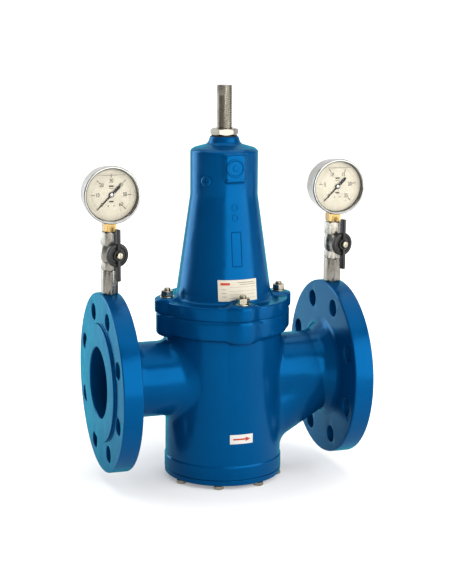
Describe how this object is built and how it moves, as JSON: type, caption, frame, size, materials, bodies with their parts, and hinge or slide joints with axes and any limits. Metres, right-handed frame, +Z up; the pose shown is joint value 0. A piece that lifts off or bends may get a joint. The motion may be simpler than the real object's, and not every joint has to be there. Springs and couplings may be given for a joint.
{
  "type": "pressure reducing valve",
  "caption": "Flanged water pressure reducing valve: cast body, spring bonnet with adjusting screw, and a pressure gauge with shut-off cock on each flange.",
  "frame": {"origin": "centre of the base, on the stem axis, in the plane the cover bolt heads stand on", "axes": "+Z up the stem axis, +X along the flow from the inlet to the outlet flange, -Y the front that the gauge dials face"},
  "size_m": [0.326, 0.2, 0.4423],
  "materials": {
    "epoxy_blue": "glossy fusion-bonded epoxy over cast iron",
    "stainless_steel": "machined",
    "polished_stainless": "polished",
    "zinc_plated_steel": "zinc plated, satin",
    "nickel_plated_brass": "nickel plated, satin",
    "brass": "turned and polished",
    "bronze": "turned",
    "rubber": "matte",
    "spring_steel": "black oxide, satin",
    "black_plastic": "fine moulded texture",
    "clear_window": "clear",
    "dial_cream": "matte printed",
    "pointer_black": "satin",
    "label_foil": "satin"
  },
  "bodies": {
    "root": {"valve_body": "epoxy_blue", "bottom_cover": "epoxy_blue", "spring_bonnet": "epoxy_blue", "vent_plug": "epoxy_blue", "seat_ring": "stainless_steel", "piston_liner": "bronze", "stem_guide_bush": "bronze", "bonnet_joint_seal": "rubber", "cover_seal": "rubber", "cover_bolt_1": "zinc_plated_steel", "cover_bolt_2": "zinc_plated_steel", "cover_bolt_3": "zinc_plated_steel", "cover_bolt_4": "zinc_plated_steel", "bonnet_stud_1": "zinc_plated_steel", "bonnet_stud_2": "zinc_plated_steel", "bonnet_stud_3": "zinc_plated_steel", "bonnet_stud_4": "zinc_plated_steel", "bonnet_nut_1": "zinc_plated_steel", "bonnet_nut_2": "zinc_plated_steel", "bonnet_nut_3": "zinc_plated_steel", "bonnet_nut_4": "zinc_plated_steel", "main_spring": "spring_steel", "data_label": "label_foil", "flow_label": "label_foil", "inlet_gauge_nipple": "nickel_plated_brass", "inlet_cock_body": "nickel_plated_brass", "inlet_gauge_socket": "brass", "inlet_gauge_case": "polished_stainless", "inlet_gauge_bezel": "polished_stainless", "inlet_gauge_window": "clear_window", "inlet_gauge_dial": "dial_cream", "outlet_gauge_nipple": "nickel_plated_brass", "outlet_cock_body": "nickel_plated_brass", "outlet_gauge_socket": "brass", "outlet_gauge_case": "polished_stainless", "outlet_gauge_bezel": "polished_stainless", "outlet_gauge_window": "clear_window", "outlet_gauge_dial": "dial_cream"},
    "trim": {"stem": "stainless_steel", "piston": "bronze", "piston_seal": "rubber", "valve_disc": "stainless_steel", "disc_seal": "rubber", "disc_retainer": "stainless_steel", "stem_top_nut": "stainless_steel", "stem_bottom_nut": "stainless_steel"},
    "spring_seat": {"upper_spring_seat": "stainless_steel"},
    "adjusting_screw": {"adjusting_screw": "stainless_steel"},
    "lock_nut_seal": {"lock_nut_seal": "rubber"},
    "lock_nut": {"lock_nut": "stainless_steel"},
    "inlet_cock": {"inlet_cock_handle": "black_plastic", "inlet_cock_stem": "stainless_steel", "inlet_handle_screw": "zinc_plated_steel", "inlet_cock_ball": "stainless_steel"},
    "inlet_pointer": {"inlet_gauge_pointer": "pointer_black"},
    "outlet_cock": {"outlet_cock_handle": "black_plastic", "outlet_cock_stem": "stainless_steel", "outlet_handle_screw": "zinc_plated_steel", "outlet_cock_ball": "stainless_steel"},
    "outlet_pointer": {"outlet_gauge_pointer": "pointer_black"}
  },
  "joints": [
    {"name": "trim_lift", "type": "slide", "parent": "root", "child": "trim", "axis": [0, 0, 1], "range_m": [0, 0.014], "stiffness_N_per_m": 49000, "deforming": ["main_spring"]},
    {"name": "spring_seat_travel", "type": "slide", "parent": "root", "child": "spring_seat", "axis": [0, 0, 1], "range_m": [-0.02, 0], "deforming": ["main_spring"]},
    {"name": "adjusting_screw_turn", "type": "hinge", "parent": "spring_seat", "child": "adjusting_screw", "pos_m": [0, 0, 0.3973], "axis": [0, 0, 1], "range_deg": [-3600, 0]},
    {"name": "lock_nut_rise", "type": "slide", "parent": "root", "child": "lock_nut_seal", "axis": [0, 0, 1], "range_m": [0, 0.01]},
    {"name": "lock_nut_turn", "type": "hinge", "parent": "lock_nut_seal", "child": "lock_nut", "pos_m": [0, 0, 0.3913], "axis": [0, 0, 1], "range_deg": [0, 1800]},
    {"name": "inlet_cock_turn", "type": "hinge", "parent": "root", "child": "inlet_cock", "pos_m": [-0.1315, 0, 0.2621], "axis": [0.2588, -0.9659, 0], "range_deg": [-90, 0]},
    {"name": "outlet_cock_turn", "type": "hinge", "parent": "root", "child": "outlet_cock", "pos_m": [0.1315, 0, 0.2621], "axis": [0.2588, -0.9659, 0], "range_deg": [-90, 0]},
    {"name": "inlet_pointer_turn", "type": "hinge", "parent": "root", "child": "inlet_pointer", "pos_m": [-0.1315, 0, 0.3272], "axis": [0, 1, 0], "range_deg": [0, 270], "stiffness_Nm_per_rad": 0.001, "springref_deg": -17.19},
    {"name": "outlet_pointer_turn", "type": "hinge", "parent": "root", "child": "outlet_pointer", "pos_m": [0.1315, 0, 0.3272], "axis": [0, 1, 0], "range_deg": [0, 270], "stiffness_Nm_per_rad": 0.001, "springref_deg": -17.19}
  ],
  "couplings": [
    {"joint": "adjusting_screw_turn", "follows": "spring_seat_travel", "rad_per_m": 3141.6},
    {"joint": "lock_nut_turn", "follows": "lock_nut_rise", "rad_per_m": 3141.6}
  ]
}
